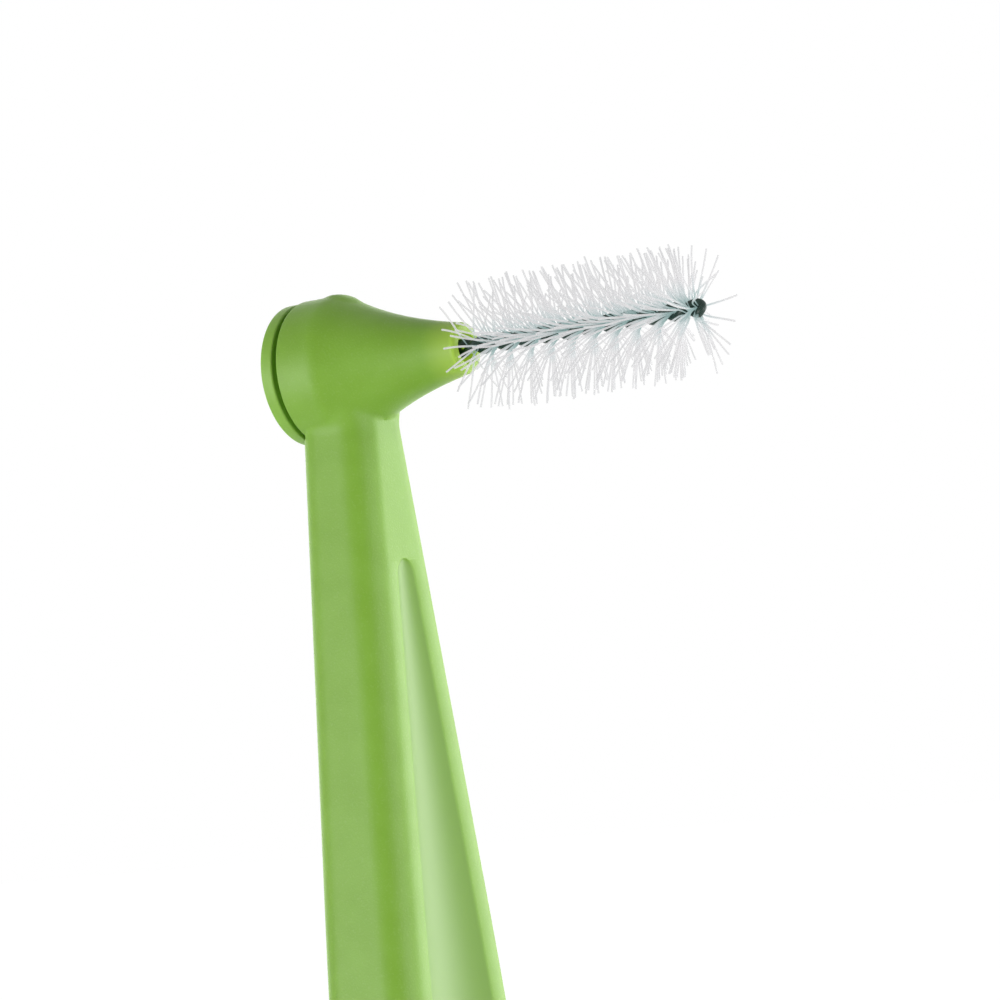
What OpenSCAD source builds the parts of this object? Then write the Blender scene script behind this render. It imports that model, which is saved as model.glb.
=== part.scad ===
// Angled interdental brush. The handle stands along Z, the brush points along +X
// and the width runs along Y. The origin is the centre of the small flat on the butt.
// The handle is symmetrical about X = 0.

/* [Handle] */
// Length from the flat of the butt to the top of the head
overall_l = 150; // [120:1:180]
// Width of the neck, read at the axis of the head
neck_w = 3.46; // [3:0.02:4.5]
// Thickness of the neck, read at the axis of the head
neck_t = 3.62; // [3.2:0.02:4.4]
// Full width of the grip
grip_w = 10; // [8:0.1:13]
// Full thickness of the grip
grip_t = 5.4; // [4.6:0.1:7]
// Distance below the head's axis at which the grip has its full width
width_run = 45; // [40:1:80]
// Distance below the head's axis at which the grip has its full thickness
thick_run = 57; // [30:1:80]
// Radius of the four long edges
edge_r = 1.42; // [1:0.02:1.5]
// Radius of the butt's corners, seen from the front
butt_corner_r = 3; // [2:0.1:4]
// Radius of the butt's edges, seen from the side
butt_edge_r = 1; // [0.6:0.1:1.6]

/* [Recess] */
// Distance from the head's axis down to the round upper end of the recess
recess_top = 8.7; // [7.5:0.1:14]
// Distance from the butt up to the round lower end of the recess
recess_foot = 14; // [8:0.5:40]
// Flat land between the long edge's round and the lip of the recess
recess_land = 0.5; // [0.05:0.05:0.8]
// Depth of the recess at the grip
recess_d = 0.6; // [0.3:0.05:1.4]

/* [Head] */
// Radius of the barrel
barrel_r = 3.24; // [3.1:0.01:3.6]
// Distance from the handle's middle plane back to the barrel's rear face
barrel_back = 1.43; // [1.2:0.01:1.8]
// Distance from the handle's middle plane to the mouth of the nozzle
nozzle_reach = 6.55; // [6.2:0.05:8]
// Radius of the nozzle behind its lip
nozzle_r = 1.145; // [1.1:0.005:1.4]
// Half angle of the nozzle at its lip, in degrees
nozzle_angle = 10.2; // [8:0.1:11.5]
// Half angle where the two arcs of the flare meet, in degrees
flare_angle = 16.6; // [14:0.1:20]
// Radius of the long hollow arc behind the nozzle
flare_front_r = 23.4; // [18:0.1:26]
// Radius of the hollow arc that climbs to the barrel
flare_back_r = 16.4; // [13:0.1:20]
// Radius of the rounded lip
lip_r = 0.18; // [0.1:0.01:0.22]
// Height of the gate mark on top of the head
gate_h = 0.08; // [0.04:0.01:0.15]
// Length of the gate mark along the head
gate_l = 0.8; // [0.5:0.05:1.2]
// Radius of the fillet where the sides of the neck run into the barrel
neck_fillet_r = 1.2; // [0.8:0.1:1.4]
// Clearance between the cap's rim and the top of the neck
neck_gap = 0.14; // [0.08:0.01:0.3]

/* [Brush carrier] */
// Radius of the rear cap
cap_r = 3.17; // [3:0.01:3.4]
// Thickness of the rear cap
cap_t = 0.62; // [0.5:0.01:0.8]
// Rounding of the cap's rim
cap_edge_r = 0.1; // [0.05:0.01:0.2]
// Open groove between the cap and the barrel
groove_w = 0.28; // [0.2:0.01:0.5]
// Radius of the collar that seats in the barrel
collar_r = 2.72; // [2.4:0.01:2.8]
// Depth of the collar's seat in the barrel
collar_d = 0.55; // [0.4:0.05:0.8]
// Radius of the stem that holds the wire
stem_r = 1.45; // [1.2:0.01:1.6]
// Length of the stem past the barrel's rear face
stem_l = 3.8; // [3:0.1:4.2]
// Radius of the slim nose in the nozzle
nose_r = 0.68; // [0.6:0.01:0.72]
// Distance that the nose stops short of the mouth
nose_inset = 0.7; // [0.5:0.05:1.2]
// Clearance round the carrier in the head
carrier_fit = 0.02; // [0.01:0.01:0.04]
// Depth of the bore that grips the twisted wire, from the nose
socket_d = 5; // [3:0.1:6]

/* [Twisted wire] */
// Distance from the mouth of the nozzle to the end of the wire loop
brush_l = 11.95; // [8:0.05:15]
// Radius of the steel wire
wire_r = 0.11; // [0.08:0.01:0.12]
// Thickness of the plastic coating on the wire
coating_t = 0.075; // [0.06:0.005:0.1]
// Advance of the twist in one turn
twist_pitch = 2.13; // [1.5:0.01:2.4]
// Turn of the loop at the end of the wire, in degrees: 90 stands it upright
loop_turn = 90; // [0:5:180]

/* [Bristles] */
// Diameter over the bristle tips
brush_d = 5.6; // [3:0.1:7]
// Filaments clamped along the wire, each with two free ends
filaments = 190; // [150:1:250]
// Thickness of a bristle
bristle_t = 0.085; // [0.06:0.005:0.12]
// Thickness of the layer of filaments between the two legs of the wire
layer_t = 0.05; // [0.04:0.005:0.08]
// Lean of the bristles back towards the handle, in degrees
lean = 13; // [0:1:16]
// Lean of the last bristles forward at the tip, in degrees
tip_lean = 62; // [20:1:70]

/* [Hidden] */
$fn = 72;
// Overrun of every cut, and the clearance between the wire and what holds it
over = 0.5;
fit = 0.01;
green = [0.53, 0.69, 0.33];
light_green = [0.60, 0.74, 0.30];
dark_green = [0.10, 0.20, 0.16];

// Height of the head's axis. Places down the handle are distances below it
head_z = overall_l - barrel_r;
neck_root = barrel_r / 2;
// Least distance between one station and the next run of stations
station_gap = 0.4;
fillet_steps = 4;
neck_steps = 24;
shaft_steps = 4;
butt_steps = 6;
corner_steps = 6;
recess_steps = 7;
recess_points = 12;
// Share of a taper that is straight before it levels out
straight_share = 0.526;
// Depth of the recess at its upper end, as a share of the full depth
recess_start_share = 0.022;
// Width of the blunt tip of each round end, as a share of the recess's width
tip_width_share = 0.2;
// Power of the curve that gives the recess its flat floor and steep walls
hollow_power = 3;

// Rises evenly for the first share of a run and then levels out to 1
function ease(u) =
    let (m = 2 / (1 + straight_share), v = min(u, 1) - straight_share)
    u < straight_share ? m * u
    : m * (straight_share + v - v * v / (2 * (1 - straight_share)));

// How far a rounded edge of radius r has drawn in at distance d from the end
function drawn_in(d, r) = d >= r ? 0 : r - sqrt(max(0, r * r - (r - d) * (r - d)));

// Half width of the plain taper at distance s below the head's axis
function taper_w(s) = (neck_w + (grip_w - neck_w) * ease(s / width_run)) / 2;

// Fillet that touches the neck's side and sinks a little into the barrel
fillet_sink = 0.03;
fillet_seat_r = barrel_r - fillet_sink;
fillet_start = sqrt(pow(fillet_seat_r + neck_fillet_r, 2) - pow(taper_w(barrel_r) + neck_fillet_r, 2));
fillet_run = fillet_start * neck_fillet_r / (fillet_seat_r + neck_fillet_r);
function fillet_spread(s) =
    let (d = max(0, min(fillet_start - s, fillet_run)))
    neck_fillet_r - sqrt(neck_fillet_r * neck_fillet_r - d * d);

// Half width and half thickness at distance s below the head's axis
function half_w(s) = taper_w(s) + fillet_spread(s) - drawn_in(head_z - s, butt_corner_r);
function half_t(s) =
    (neck_t + (grip_t - neck_t) * ease(s / thick_run)) / 2
    - drawn_in(head_z - s, butt_edge_r);

// Recess: its two round ends, its half width and its depth
recess_end = head_z - recess_foot;
function recess_side(s) = half_w(s) - edge_r - recess_land;
recess_widening = (half_w(recess_top + over) - half_w(recess_top)) / over;
recess_top_r = recess_side(recess_top) / (1 - recess_widening);
recess_end_r = recess_side(recess_end);
function round_end(s) = max(0,
    s < recess_top + recess_top_r ? (recess_top + recess_top_r - s) / recess_top_r
    : s > recess_end - recess_end_r ? (s - recess_end + recess_end_r) / recess_end_r : 0);
function in_recess(s) = s >= recess_top && s <= recess_end;
function recess_w(s) = let (u = min(1, round_end(s)))
    in_recess(s) ? recess_side(s) * max(tip_width_share, sqrt(1 - u * u)) : recess_side(s);
function recess_depth(s) = let (u = min(1, round_end(s)))
    in_recess(s) ? recess_d * (recess_start_share + ease(s / thick_run)
        * (1 - recess_start_share)) * pow(1 - pow(u, hollow_power), 1 / hollow_power) : 0;

// Section of the handle: the hollow front face first, then the four round edges
function corner(s, k) =
    let (t = half_t(s), w = half_w(s), r = min(edge_r, t, w))
    [for (i = [0 : corner_steps])
        let (a = 90 * k + 90 * i / corner_steps)
        [(t - r) * (k == 0 || k == 3 ? 1 : -1) + r * cos(a),
         (w - r) * (k < 2 ? 1 : -1) + r * sin(a)]];
function front(s) =
    [for (i = [0 : recess_points])
        let (a = 180 * i / recess_points, c = cos(a),
             v = sign(c) * pow(abs(c), 2 / hollow_power),
             g = pow(sin(a), 2 / hollow_power))
        [half_t(s) - recess_depth(s) * g, -recess_w(s) * v]];
function section(s) =
    concat(front(s), corner(s, 0), corner(s, 1), corner(s, 2), corner(s, 3));

// Stations down the handle, closer together where its shape changes
fillet_turn = asin(fillet_run / neck_fillet_r);
fillet_stations = [for (i = [0 : fillet_steps])
    fillet_start - neck_fillet_r * sin(fillet_turn * (1 - i / fillet_steps))];
body_stations = [for (i = [1 : neck_steps]) neck_root + (width_run - neck_root) * i / neck_steps];
shaft_stations = [for (i = [1 : shaft_steps])
    width_run + (recess_end - recess_end_r - width_run) * i / shaft_steps];
butt_start = head_z - butt_corner_r;
butt_stations = [for (i = [0 : butt_steps]) butt_start + butt_corner_r * sin(90 * i / butt_steps)];
top_stations = [for (i = [0 : recess_steps])
    recess_top + recess_top_r * (1 - cos(90 * i / recess_steps))];
end_stations = [for (i = [1 : recess_steps])
    recess_end - recess_end_r + recess_end_r * sin(90 * i / recess_steps)];
stations = concat(
    [neck_root], fillet_stations,
    [for (s = body_stations) if (s > fillet_start + station_gap && s < recess_top - station_gap) s],
    top_stations,
    [for (s = body_stations) if (s > recess_top + recess_top_r + station_gap) s],
    shaft_stations, end_stations, butt_stations);

// Joins rings of equal count into one closed skin of triangles, with a fan at each end
function middle(ring) = [for (i = [1 : len(ring)]) 1 / len(ring)] * ring;
module loft(rings) {
    n = len(rings[0]);
    last = len(rings) - 1;
    points = concat([for (ring = rings) each ring], [middle(rings[0]), middle(rings[last])]);
    first_hub = n * (last + 1);
    sides = [for (j = [0 : last - 1], i = [0 : n - 1])
        let (a = j * n + i, b = j * n + (i + 1) % n)
        each [[a, b, b + n], [a, b + n, a + n]]];
    fans = [for (i = [0 : n - 1])
        let (b = (i + 1) % n, e = last * n)
        each [[b, i, first_hub], [e + i, e + b, first_hub + 1]]];
    polyhedron(points, concat(sides, fans), convexity = 4);
}

// Outline of the head in [radius, distance forward]
flare_joint_x = nozzle_reach - lip_r
    - flare_front_r * (sin(flare_angle) - sin(nozzle_angle));
flare_joint_r = nozzle_r + flare_front_r * (cos(nozzle_angle) - cos(flare_angle));
shoulder_angle = acos(cos(flare_angle) - (barrel_r - flare_joint_r) / flare_back_r);
shoulder_x = flare_joint_x - flare_back_r * (sin(shoulder_angle) - sin(flare_angle));
flare_steps = 6;
head_outline = concat(
    [[0, -barrel_back], [barrel_r, -barrel_back]],
    [for (i = [0 : flare_steps])
        let (a = shoulder_angle + (flare_angle - shoulder_angle) * i / flare_steps)
        [flare_joint_r + flare_back_r * (cos(flare_angle) - cos(a)),
         flare_joint_x - flare_back_r * (sin(a) - sin(flare_angle))]],
    [for (i = [1 : flare_steps])
        let (a = flare_angle + (nozzle_angle - flare_angle) * i / flare_steps)
        [nozzle_r + flare_front_r * (cos(nozzle_angle) - cos(a)),
         nozzle_reach - lip_r - flare_front_r * (sin(a) - sin(nozzle_angle))]],
    [for (i = [1 : flare_steps])
        let (a = 90 * i / flare_steps)
        [nozzle_r - lip_r + lip_r * cos(a), nozzle_reach - lip_r + lip_r * sin(a)]],
    [[0, nozzle_reach]]);

// Turns children from the Z axis onto the head's axis
module on_head_axis() {
    translate([0, 0, head_z]) rotate([0, 90, 0]) children();
}

// Round bar on the head's axis between two distances forward
module bar(r, from, to) {
    on_head_axis() translate([0, 0, from]) cylinder(r = r, h = to - from);
}

// Bores of the head, each a fit clearance larger than what it holds
module head_bores() {
    bar(collar_r + carrier_fit, -barrel_back - over, -barrel_back + collar_d + carrier_fit);
    bar(stem_r + carrier_fit, -barrel_back, -barrel_back + stem_l + carrier_fit);
    bar(nose_r + carrier_fit, -barrel_back + stem_l, nozzle_reach + over);
}

// Low round gate mark left by the mould on the crown of the head
module gate_mark() {
    intersection() {
        bar(barrel_r + gate_h, shoulder_x - gate_l, shoulder_x + gate_l);
        translate([shoulder_x, 0, head_z]) cylinder(d = gate_l, h = barrel_r + over);
    }
}

// Handle, neck and head, moulded in one piece
module handle() {
    color(green) difference() {
        union() {
            loft([for (s = stations) [for (p = section(s)) [p.x, p.y, head_z - s]]]);
            on_head_axis() rotate_extrude() polygon(head_outline);
            gate_mark();
        }
        head_bores();
        bar(cap_r + neck_gap, -grip_t, -barrel_back);
    }
}

// Offset of each leg of the wire from the brush's axis, clear of the layer of filaments
layer_gap = 0.02;
leg_offset = wire_r + coating_t + layer_t / 2 + layer_gap;

// Rear cap, collar, stem and nose in one piece, bored for the wire
cap_back = barrel_back + groove_w + cap_t;
nose_end = nozzle_reach - nose_inset;
socket_r = leg_offset + wire_r + coating_t + carrier_fit;
cap_steps = 4;
cap_outline = concat(
    [[0, -cap_back]],
    [for (i = [0 : cap_steps])
        let (a = 90 * i / cap_steps)
        [cap_r - cap_edge_r + cap_edge_r * sin(a), -cap_back + cap_edge_r - cap_edge_r * cos(a)]],
    [for (i = [0 : cap_steps])
        let (a = 90 * i / cap_steps)
        [cap_r - cap_edge_r + cap_edge_r * cos(a),
         -cap_back + cap_t - cap_edge_r + cap_edge_r * sin(a)]],
    [[0, -cap_back + cap_t]]);

module brush_carrier() {
    color(light_green) difference() {
        union() {
            on_head_axis() rotate_extrude() polygon(cap_outline);
            bar(collar_r, -cap_back + cap_t / 2, -barrel_back + collar_d);
            bar(stem_r, -barrel_back, -barrel_back + stem_l);
            bar(nose_r, -barrel_back, nose_end);
        }
        bar(socket_r, nose_end - socket_d, nose_end + over);
    }
}

// Centre line of the doubled wire: out along one leg, round the tip and back
twist_rate = -360 / twist_pitch;
leg_start = nose_end - socket_d + fit;
tip_x = nozzle_reach + brush_l;
leg_end = tip_x - leg_offset - wire_r - coating_t;
rings_per_turn = 8;
leg_rings = ceil((leg_end - leg_start) / twist_pitch * rings_per_turn);
bend_rings = 7;
wire_sides = 6;
function leg_turn(x) = loop_turn + twist_rate * (x - leg_end);
function radial(x) = [0, cos(leg_turn(x)), sin(leg_turn(x))];
function across(x) = [0, -sin(leg_turn(x)), cos(leg_turn(x))];
function leg_place(i) = leg_start + (leg_end - leg_start) * i / leg_rings;
wire_places = concat(
    [for (i = [0 : leg_rings]) [leg_place(i), 0]],
    [for (i = [1 : bend_rings])
        let (a = 180 * i / (bend_rings + 1))
        [leg_end + leg_offset * sin(a), a]],
    [for (i = [0 : leg_rings]) [leg_place(leg_rings - i), 180]]);
function centre(p) = [p.x, 0, 0] + leg_offset * cos(p.y) * radial(p.x);
function outward(p) = [sin(p.y), 0, 0] + cos(p.y) * radial(p.x);
function heading(p) =
    let (t = [cos(p.y), 0, 0] - sin(p.y) * radial(p.x)
        + leg_offset * twist_rate * PI / 180 * pow(cos(p.y), 2) * across(p.x))
    t / norm(t);
// The rings turn back as the wire twists, so that the skin between them lies straight
advance_share = 1 / sqrt(1 + pow(leg_offset * twist_rate * PI / 180, 2));
function roll(p) = -twist_rate * advance_share * (leg_end + cos(p.y) * (p.x - leg_end));
function wire_ring(p, r) =
    let (side = cross(heading(p), outward(p)))
    [for (i = [0 : wire_sides - 1])
        let (a = roll(p) - 360 * i / wire_sides)
        centre(p) + r * cos(a) * outward(p) + r * sin(a) * side + [0, 0, head_z]];

// The steel wire, folded once and twisted
module wire() {
    color("silver") loft([for (p = wire_places) wire_ring(p, wire_r)]);
}

// The coating on the wire: outer skin, bore and a ring-shaped face at each end
module wire_coating() {
    n = wire_sides;
    count = len(wire_places);
    outer = [for (p = wire_places) each wire_ring(p, wire_r + coating_t)];
    inner = [for (p = wire_places) each wire_ring(p, wire_r + fit)];
    m = n * count;
    skin = [for (j = [0 : count - 2], i = [0 : n - 1])
        let (a = j * n + i, b = j * n + (i + 1) % n)
        each [[a, b, b + n], [a, b + n, a + n],
              [m + a, m + b + n, m + b], [m + a, m + a + n, m + b + n]]];
    ends = [for (i = [0 : n - 1])
        let (b = (i + 1) % n, e = (count - 1) * n)
        each [[i, m + b, b], [i, m + i, m + b],
              [e + i, e + b, m + e + b], [e + i, m + e + b, m + e + i]]];
    color(dark_green) polyhedron(concat(outer, inner), concat(skin, ends), convexity = 6);
}

// Least distance between the surfaces of the two legs, on the rings' own points
leg_a = [for (i = [0 : leg_rings]) each wire_ring([leg_place(i), 0], wire_r + coating_t)];
mid_b = wire_ring([leg_place(floor(leg_rings / 2)), 180], wire_r + coating_t);
least_gap = min([for (a = leg_a, b = mid_b) norm(a - b)]);
echo(least_gap_between_wire_legs = least_gap);

// Bristles: a twisted layer between the legs, drawn out at both edges into strands
brush_start = nozzle_reach + bristle_t;
brush_end = leg_end;
// Half width of the layer, as a share of the twisted wire's radius
layer_half_share = 0.72;
layer_half = (leg_offset + wire_r + coating_t) * layer_half_share;
// Spread of the strands in turn and in lean, in degrees, and in length
turn_spread = 3;
lean_spread = 2.5;
length_spread_share = 0.05;
// Shares of the brush over which the strands fan out at the tip and stand clear of the nozzle
fan_share = 0.13;
clear_share = 0.1;
// Chance values, three for each strand
draws = 3;
seed = 17;
chance = rands(-1, 1, draws * 2 * filaments, seed);
function layer_x(i) = brush_start + (brush_end - brush_start) * i / filaments;
function layer_ring(i) =
    let (x = layer_x(i), u = across(x) * layer_half, w = radial(x) * layer_t / 2)
    [for (p = [u + w, u - w, -u - w, -u + w]) [x, 0, head_z] + p];
function strand_lean(i) =
    let (s = i / filaments)
    s > 1 - fan_share ? -lean + (tip_lean + lean) * pow((s - 1 + fan_share) / fan_share, 2)
    : s < clear_share ? -lean * s / clear_share : -lean;
function strand_tip(i, edge) =
    let (k = draws * (2 * i + (edge > 0 ? 0 : 1)),
         x = (layer_x(i) + layer_x(i + 1)) / 2,
         a = strand_lean(i) + lean_spread * chance[k],
         b = turn_spread * chance[k + 1],
         reach = (brush_d / 2 * (1 + length_spread_share * chance[k + 2]) - layer_half),
         out = edge * (across(x) * cos(b) + radial(x) * sin(b)),
         run = a > 0 ? reach : reach / cos(a),
         end = [x, 0, head_z] + edge * across(x) * layer_half
             + run * (cos(a) * out + [sin(a), 0, 0]),
         w = radial(x) * bristle_t / 2,
         h = [cos(a), 0, 0] * bristle_t / 2 - out * sin(a) * bristle_t / 2)
    [end + w - h, end + w + h, end - w + h, end - w - h];

module bristles() {
    rings = [for (i = [0 : filaments]) each layer_ring(i)];
    tips = [for (i = [0 : filaments - 1], edge = [1, -1]) each strand_tip(i, edge)];
    first_tip = 4 * (filaments + 1);
    layer_faces = [for (i = [0 : filaments - 1])
        let (a = 4 * i)
        each [[a, a + 3, a + 7], [a, a + 7, a + 4],
              [a + 1, a + 5, a + 6], [a + 1, a + 6, a + 2]]];
    strands = [for (i = [0 : filaments - 1], edge = [0, 1])
        let (a = 4 * i, t = first_tip + 4 * (2 * i + edge),
             root = edge == 0 ? [a, a + 4, a + 5, a + 1] : [a + 3, a + 7, a + 6, a + 2],
             tip = [t, t + 1, t + 2, t + 3])
        each [for (k = [0 : 3])
            let (m = (k + 1) % 4)
            each edge == 0
                ? [[root[k], root[m], tip[m]], [root[k], tip[m], tip[k]]]
                : [[root[k], tip[m], root[m]], [root[k], tip[k], tip[m]]]]];
    tip_faces = [for (i = [0 : filaments - 1], edge = [0, 1])
        let (t = first_tip + 4 * (2 * i + edge))
        each edge == 0
            ? [[t, t + 1, t + 2], [t, t + 2, t + 3]]
            : [[t, t + 2, t + 1], [t, t + 3, t + 2]]];
    last = 4 * filaments;
    ends = [[0, 1, 2], [0, 2, 3], [last, last + 2, last + 1], [last, last + 3, last + 2]];
    color("white")
        polyhedron(concat(rings, tips), concat(layer_faces, strands, tip_faces, ends),
            convexity = 10);
}

handle();
brush_carrier();
wire();
wire_coating();
bristles();
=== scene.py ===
# Angled interdental brush: fine surfaces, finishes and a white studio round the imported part.
import math

import bpy
import numpy as np
from mathutils import Matrix, Vector


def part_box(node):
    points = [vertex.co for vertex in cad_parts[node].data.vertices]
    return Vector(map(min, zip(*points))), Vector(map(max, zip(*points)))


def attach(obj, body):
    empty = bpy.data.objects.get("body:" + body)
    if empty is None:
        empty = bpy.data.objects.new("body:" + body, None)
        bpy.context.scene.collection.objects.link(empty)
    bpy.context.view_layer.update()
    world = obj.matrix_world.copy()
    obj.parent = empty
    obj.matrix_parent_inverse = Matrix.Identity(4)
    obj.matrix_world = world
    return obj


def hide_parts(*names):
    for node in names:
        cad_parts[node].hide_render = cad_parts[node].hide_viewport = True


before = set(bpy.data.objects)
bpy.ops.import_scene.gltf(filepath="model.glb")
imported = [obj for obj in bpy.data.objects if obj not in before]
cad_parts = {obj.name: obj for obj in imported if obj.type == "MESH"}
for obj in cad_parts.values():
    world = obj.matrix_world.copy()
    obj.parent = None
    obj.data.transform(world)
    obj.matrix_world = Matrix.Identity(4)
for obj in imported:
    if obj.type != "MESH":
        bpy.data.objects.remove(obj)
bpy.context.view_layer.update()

mm = 0.001              # lengths are written in millimetres, and the frame's are in metres
body = "root"


def nodeBox(node):
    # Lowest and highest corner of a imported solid, in millimetres
    return [np.array(corner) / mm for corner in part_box(node)]


capLow, capHigh = nodeBox("brush_carrier")
headZ = (capLow[2] + capHigh[2]) / 2            # height of the head's axis
capRadius = (capHigh[2] - capLow[2]) / 2
capBack = -capLow[0]                            # the cap's rear face, behind the handle's middle plane
mouthX, gripHalf = nodeBox("handle")[1][:2]     # the nozzle's mouth, and half the width of the grip
tipX = nodeBox("wire_coating")[1][0]            # the end of the wire loop
bristleEnd = nodeBox("bristles")[1][0]          # the foremost point of the packed bristles
print(f"frame: axis at {headZ:.2f} mm, mouth at {mouthX:.2f} mm, wire ends at {tipX:.2f} mm")


# Surfaces

def smoothShade(mesh, sharpFrom):
    # Smooth faces, with a crease where they meet at more than an angle in degrees
    mesh.shade_smooth()
    mesh.set_sharp_from_angle(angle=math.radians(sharpFrom))


def makeObject(name, points, faces, sharpFrom=38):
    # A mesh object of points in millimetres and a list of faces
    mesh = bpy.data.meshes.new(name)
    mesh.from_pydata((np.asarray(points) * mm).tolist(), [], faces)
    mesh.validate()
    mesh.update()
    made = bpy.data.objects.new(name, mesh)
    bpy.context.scene.collection.objects.link(made)
    smoothShade(mesh, sharpFrom)
    return made


def fit(piece, material, node):
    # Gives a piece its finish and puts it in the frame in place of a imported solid
    piece.data.materials.clear()
    piece.data.materials.append(material)
    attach(piece, body)
    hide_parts(node)
    return piece


def gridFaces(rows, columns, first=0):
    # Quads between neighbouring points of closed rings that are stored one after the other
    i = np.arange(rows - 1)[:, None] * columns
    j = np.arange(columns)[None, :]
    k = (j + 1) % columns
    quads = np.stack([i + j, i + k, i + columns + k, i + columns + j], -1)
    return first + quads.reshape(-1, 4)


def fanFaces(start, columns, hub, flip=False):
    # Triangles from one ring of points to a hub point
    j = np.arange(columns)
    a, b = start + j, start + (j + 1) % columns
    return np.stack([b if flip else a, a if flip else b, np.full(columns, hub)], -1)


def revolve(profile, around=160):
    # Each profile point (forward, radius) runs round the head's axis: y = r cos a, z = r sin a. The
    # first and the last point lie on the axis, and close the surface with a fan each.
    profile = np.asarray(profile, float)
    ring = profile[1:-1]
    a = np.linspace(0, 2 * np.pi, around, endpoint=False)
    x = np.repeat(ring[:, :1], around, 1)
    grid = np.stack([x, ring[:, 1:] * np.cos(a), headZ + ring[:, 1:] * np.sin(a)], -1)
    count = len(ring) * around
    points = np.vstack([grid.reshape(-1, 3), (profile[0, 0], 0, headZ), (profile[-1, 0], 0, headZ)])
    faces = gridFaces(len(ring), around).tolist()
    faces += fanFaces(0, around, count, True).tolist()
    faces += fanFaces(count - around, around, count + 1).tolist()
    return points, faces


def arc(centre, radius, fromAngle, toAngle, count):
    # Points (forward, radius) on an arc, with angles in degrees from the forward direction
    a = np.radians(np.linspace(fromAngle, toAngle, count))
    return np.stack([centre[0] + radius * np.cos(a), centre[1] + radius * np.sin(a)], -1)


def line(start, end, count):
    # Evenly spaced values or points
    return np.linspace(start, end, count)


def smooth(u):
    # Rises from 0 to 1 with level ends: u^2 (3 - 2 u)
    u = np.clip(u, 0, 1)
    return u * u * (3 - 2 * u)


def sine(degrees):
    return math.sin(math.radians(degrees))


def cosine(degrees):
    return math.cos(math.radians(degrees))


# Handle, neck and head, where s is the distance below the head's axis

handle = {
    "neckWide": 3.46, "neckThick": 3.62, "gripThick": 5.4, "wideRun": 45.0, "thickRun": 57.0,
    "straightShare": 0.526, "edgeRadius": 1.42, "neckFillet": 1.2, "seatInset": 0.02,
    "buttCorner": 3.0, "buttEdge": 1.0,
    "recessTop": 8.7, "recessFoot": 14.0, "recessLand": 0.5, "recessDeep": 0.6, "recessStart": 0.022,
    "endPower": 2.2, "tipShare": 0.2, "slopeStep": 0.5,
    "skinTop": 1.62, "filletFoot": 4.4, "fineFoot": 21.0, "middleTop": 21.6,
    "fineStep": 0.1, "coarseStep": 1.0,
    "edgePoints": 15, "flatPoints": 10, "hollowPoints": 19, "hollowCrowd": 1.25,
    "polishSlack": 0.02, "polishFrom": 0.01, "polishRun": 0.05, "sharpFrom": 40,
}
head = {
    "barrelRadius": 3.24, "barrelBack": 1.43, "nozzleRadius": 1.145, "nozzleAngle": 10.2,
    "flareAngle": 16.6, "flareFront": 23.4, "flareBack": 16.4, "lipRadius": 0.18, "shoulderRound": 0.3,
    "rearEdge": 0.07, "boreRadius": 0.7, "boreEdge": 0.06, "stemBore": 1.47, "stemDeep": 3.82,
    "collarBore": 2.74, "collarDeep": 0.57, "neckGap": 0.14,
    "trim": 0.3, "boreStart": 0.2, "pastMouth": 0.5, "ringGap": 0.1, "bendGap": 0.02, "rearHub": 0.4,
    "mouthHub": 0.3, "gateLong": 0.95, "gateHigh": 0.08, "gateSteep": 2.2,
    "blendReach": 0.35, "blendSteep": 1.4, "blendPull": 0.6, "blendPasses": 10, "blendTop": 1.2,
    "blendBack": 0.25,
    "nozzleReach": 2.0, "paleFrom": 1.7, "paleRun": 1.4,
    # boreSlack and the keys after it place the painted glow on the bore's wall and on its lip
    "boreSlack": 0.04, "glowFrom": 2.0, "glowRun": 1.2, "lipFrom": 0.30, "lipRun": 0.28, "lipGlow": 0.55,
}


def ease(u, share):
    # Even for the first share of a run, then a parabola that levels out at 1
    u = np.minimum(u, 1)
    m, v = 2 / (1 + share), u - share
    return np.where(u < share, m * u, m * (share + v - v * v / (2 * (1 - share))))


def drawnIn(d, r):
    # How far a rounded edge of radius r has drawn in at distance d from the end
    return r - np.sqrt(r * r - np.clip(r - d, 0, r) ** 2)


def taperHalf(s):
    # Half width of the plain taper, from the neck's width to the grip's
    h = handle
    grow = ease(s / h["wideRun"], h["straightShare"])
    return (h["neckWide"] + (2 * gripHalf - h["neckWide"]) * grow) / 2


def halfWide(s):
    # Plain taper, plus a fillet tangent to the barrel, less the round corners of the butt
    r, seat = handle["neckFillet"], head["barrelRadius"] - handle["seatInset"]
    start = math.sqrt((seat + r) ** 2 - (taperHalf(seat) + r) ** 2)
    d = np.clip(start - s, 0, start * r / (seat + r))
    return taperHalf(s) + r - np.sqrt(r * r - d * d) - drawnIn(headZ - s, handle["buttCorner"])


def halfThick(s):
    # Taper from the neck's thickness to the grip's, less the round edge of the butt
    h = handle
    grow = ease(s / h["thickRun"], h["straightShare"])
    thick = h["neckThick"] + (h["gripThick"] - h["neckThick"]) * grow
    return thick / 2 - drawnIn(headZ - s, h["buttEdge"])


def sectionAt(s):
    # Half thickness, half width and edge radius
    t, w = halfThick(s), halfWide(s)
    return t, w, np.minimum(handle["edgeRadius"], np.minimum(t, w))


def recessHalf(s):
    # Half width of the recess between its two even lands
    return halfWide(s) - handle["edgeRadius"] - handle["recessLand"]


def recessEnds():
    # Radius of the round upper end, which touches the widening sides, then where the recess ends below
    # and the radius of the round end there
    h = handle
    widening = (halfWide(h["recessTop"] + h["slopeStep"]) - halfWide(h["recessTop"])) / h["slopeStep"]
    foot = headZ - h["recessFoot"]
    return recessHalf(h["recessTop"]) / (1 - widening), foot, recessHalf(foot)


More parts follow.
